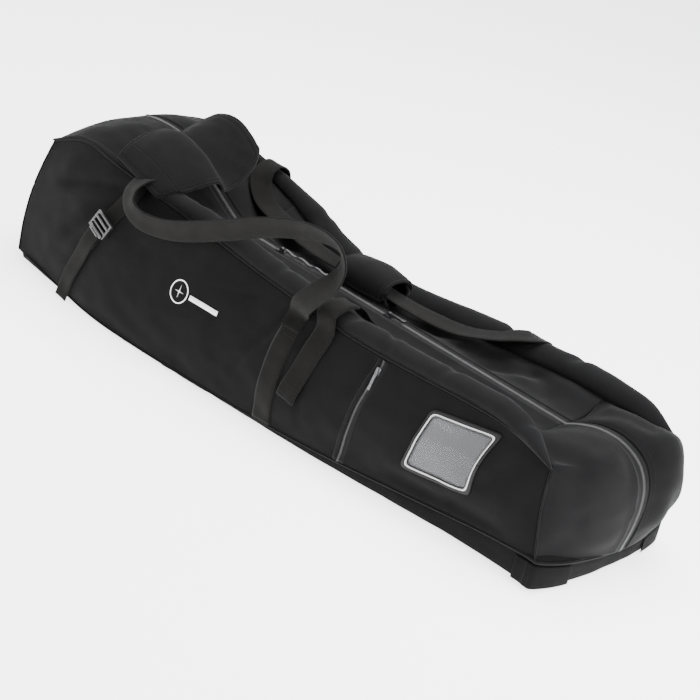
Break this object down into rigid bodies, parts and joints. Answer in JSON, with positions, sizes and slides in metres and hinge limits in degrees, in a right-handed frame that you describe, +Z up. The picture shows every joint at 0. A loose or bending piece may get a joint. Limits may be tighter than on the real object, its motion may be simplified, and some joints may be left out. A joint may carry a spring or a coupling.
{
  "type": "telescope carry case",
  "caption": "Long padded cloth carry case for a telescope or tripod, with a zipped top, front pocket, card window, webbing handles and a folding flap.",
  "frame": {"origin": "middle of the footprint of the base, on the floor", "axes": "+X towards the foot end, -Y towards the front side with the pocket and window, +Z up"},
  "size_m": [1.1955, 0.397, 0.3402],
  "materials": {
    "body_cloth": "matt padded nylon",
    "base_cloth": "coarse coated nylon",
    "lining_cloth": "smooth lining",
    "foam": "soft foam",
    "board": "stiffening board",
    "webbing": "ribbed webbing",
    "zip_tape": "zip tape",
    "zip_chain": "coil chain",
    "metal_dark": "dark plated metal",
    "lock_plastic": "moulded",
    "window_vinyl": "glossy vinyl",
    "clear_sheet": "clear sheet",
    "card": "white card",
    "white_print": "printed"
  },
  "bodies": {
    "case": {"base_skin": "base_cloth", "base_board": "board", "floor_pad": "lining_cloth", "base_band_front": "base_cloth", "base_band_foot": "base_cloth", "base_band_back": "base_cloth", "base_band_head": "base_cloth", "front_side_panel": "body_cloth", "front_side_foam": "foam", "front_side_lining": "lining_cloth", "back_side_panel": "body_cloth", "back_side_foam": "foam", "back_side_lining": "lining_cloth", "head_end_panel": "body_cloth", "foot_end_panel_front": "body_cloth", "foot_end_panel_back": "body_cloth", "head_top_panel_front": "body_cloth", "head_top_panel_back": "body_cloth", "front_edge_roll": "body_cloth", "back_edge_roll": "body_cloth", "foot_zip_chain": "zip_chain", "foot_zip_tapes": "zip_tape", "head_zip_chain": "zip_chain", "head_zip_tapes": "zip_tape", "zip_stops": "metal_dark", "pocket_pouch": "lining_cloth", "pocket_zip_chain": "zip_chain", "pocket_zip_tapes": "zip_tape", "id_window_frame": "window_vinyl", "id_window_sheet": "clear_sheet", "printed_mark": "white_print", "foot_corner_patches": "base_cloth", "front_handle_band": "webbing", "back_handle_bands": "webbing", "head_strap": "webbing"},
    "front_lid": {"front_top_panel": "body_cloth", "front_zip_tape": "zip_tape", "main_zip_chain": "zip_chain", "strap_root": "webbing"},
    "back_lid": {"back_top_panel": "body_cloth", "back_zip_tape": "zip_tape"},
    "head_slider": {"head_slider": "metal_dark"},
    "head_pull": {"head_pull": "lock_plastic"},
    "foot_slider": {"foot_slider": "metal_dark"},
    "foot_pull": {"foot_pull": "metal_dark"},
    "pocket_slider": {"pocket_slider": "metal_dark"},
    "pocket_pull": {"pocket_pull": "metal_dark"},
    "id_card": {"id_card": "card"},
    "flap_near": {"flap_near_half": "body_cloth"},
    "flap_far": {"flap_far_half": "body_cloth"},
    "front_handle": {"front_handle": "webbing"},
    "back_handle": {"back_handle": "webbing", "hand_wrap_trough": "body_cloth"},
    "wrap_cover": {"hand_wrap_cover": "body_cloth"},
    "hanging_strap": {"hanging_strap": "webbing"},
    "ladder_lock": {"ladder_lock": "lock_plastic"},
    "strap_tail": {"strap_tail": "webbing"}
  },
  "joints": [
    {"name": "front_lid_open", "type": "hinge", "parent": "case", "child": "front_lid", "pos_m": [-0.25, -0.13747, 0.23467], "axis": [0.9981, 0.0258, -0.0555], "range_deg": [0, 95]},
    {"name": "back_lid_open", "type": "hinge", "parent": "case", "child": "back_lid", "pos_m": [-0.25, 0.13747, 0.20833], "axis": [-0.9994, 0.0258, 0.0244], "range_deg": [0, 90]},
    {"name": "head_slider_run", "type": "slide", "parent": "front_lid", "child": "head_slider", "axis": [1, 0, 0], "range_m": [-0.07, 0.08]},
    {"name": "head_pull_swing", "type": "hinge", "parent": "head_slider", "child": "head_pull", "pos_m": [-0.16, 0.015, 0.1747], "axis": [0, -1, 0], "range_deg": [0, 165]},
    {"name": "foot_slider_run", "type": "slide", "parent": "front_lid", "child": "foot_slider", "axis": [1, 0, 0], "range_m": [-0.02, 0.3]},
    {"name": "foot_pull_swing", "type": "hinge", "parent": "foot_slider", "child": "foot_pull", "pos_m": [0.092, 0.015, 0.1747], "axis": [0, -1, 0], "range_deg": [0, 165]},
    {"name": "pocket_slider_run", "type": "slide", "parent": "case", "child": "pocket_slider", "axis": [0, -0.2225, -0.9749], "range_m": [0, 0.09]},
    {"name": "pocket_pull_swing", "type": "hinge", "parent": "pocket_slider", "child": "pocket_pull", "pos_m": [0.226, -0.15646, 0.16738], "axis": [-1, 0, 0], "range_deg": [0, 160]},
    {"name": "id_card_slide", "type": "slide", "parent": "case", "child": "id_card", "axis": [0.9994, 0.0333, 0], "range_m": [0, 0.1]},
    {"name": "flap_lift", "type": "hinge", "parent": "case", "child": "flap_near", "pos_m": [-0.34, -0.146, 0.262], "axis": [1, 0, 0], "range_deg": [0, 70]},
    {"name": "flap_fold", "type": "hinge", "parent": "flap_near", "child": "flap_far", "pos_m": [-0.34, -0.06125, 0.299], "axis": [1, 0, 0], "range_deg": [0, 75]},
    {"name": "front_handle_swing", "type": "hinge", "parent": "case", "child": "front_handle", "pos_m": [-0.322, -0.17033, 0.222], "axis": [0.9993, 0.0258, -0.026], "range_deg": [0, 95]},
    {"name": "back_handle_lift", "type": "hinge", "parent": "back_lid", "child": "back_handle", "pos_m": [-0.25, 0.13747, 0.20833], "axis": [-0.9994, 0.0258, 0.0244], "range_deg": [0, 40]},
    {"name": "wrap_cover_open", "type": "hinge", "parent": "back_handle", "child": "wrap_cover", "pos_m": [0.004, 0.10232, 0.2272], "axis": [-1, 0, 0], "range_deg": [0, 80]},
    {"name": "hanging_strap_swing", "type": "hinge", "parent": "case", "child": "hanging_strap", "pos_m": [0.118, -0.12795, 0.21422], "axis": [-0.9981, -0.0258, 0.0555], "range_deg": [0, 45]},
    {"name": "ladder_lock_run", "type": "slide", "parent": "case", "child": "ladder_lock", "axis": [0.3809, 0.1799, 0.9069], "range_m": [-0.02, 0.055]},
    {"name": "strap_tail_swing", "type": "hinge", "parent": "case", "child": "strap_tail", "pos_m": [-0.3842, -0.18237, 0.11125], "axis": [-1, 0, 0], "range_deg": [0, 58]}
  ]
}
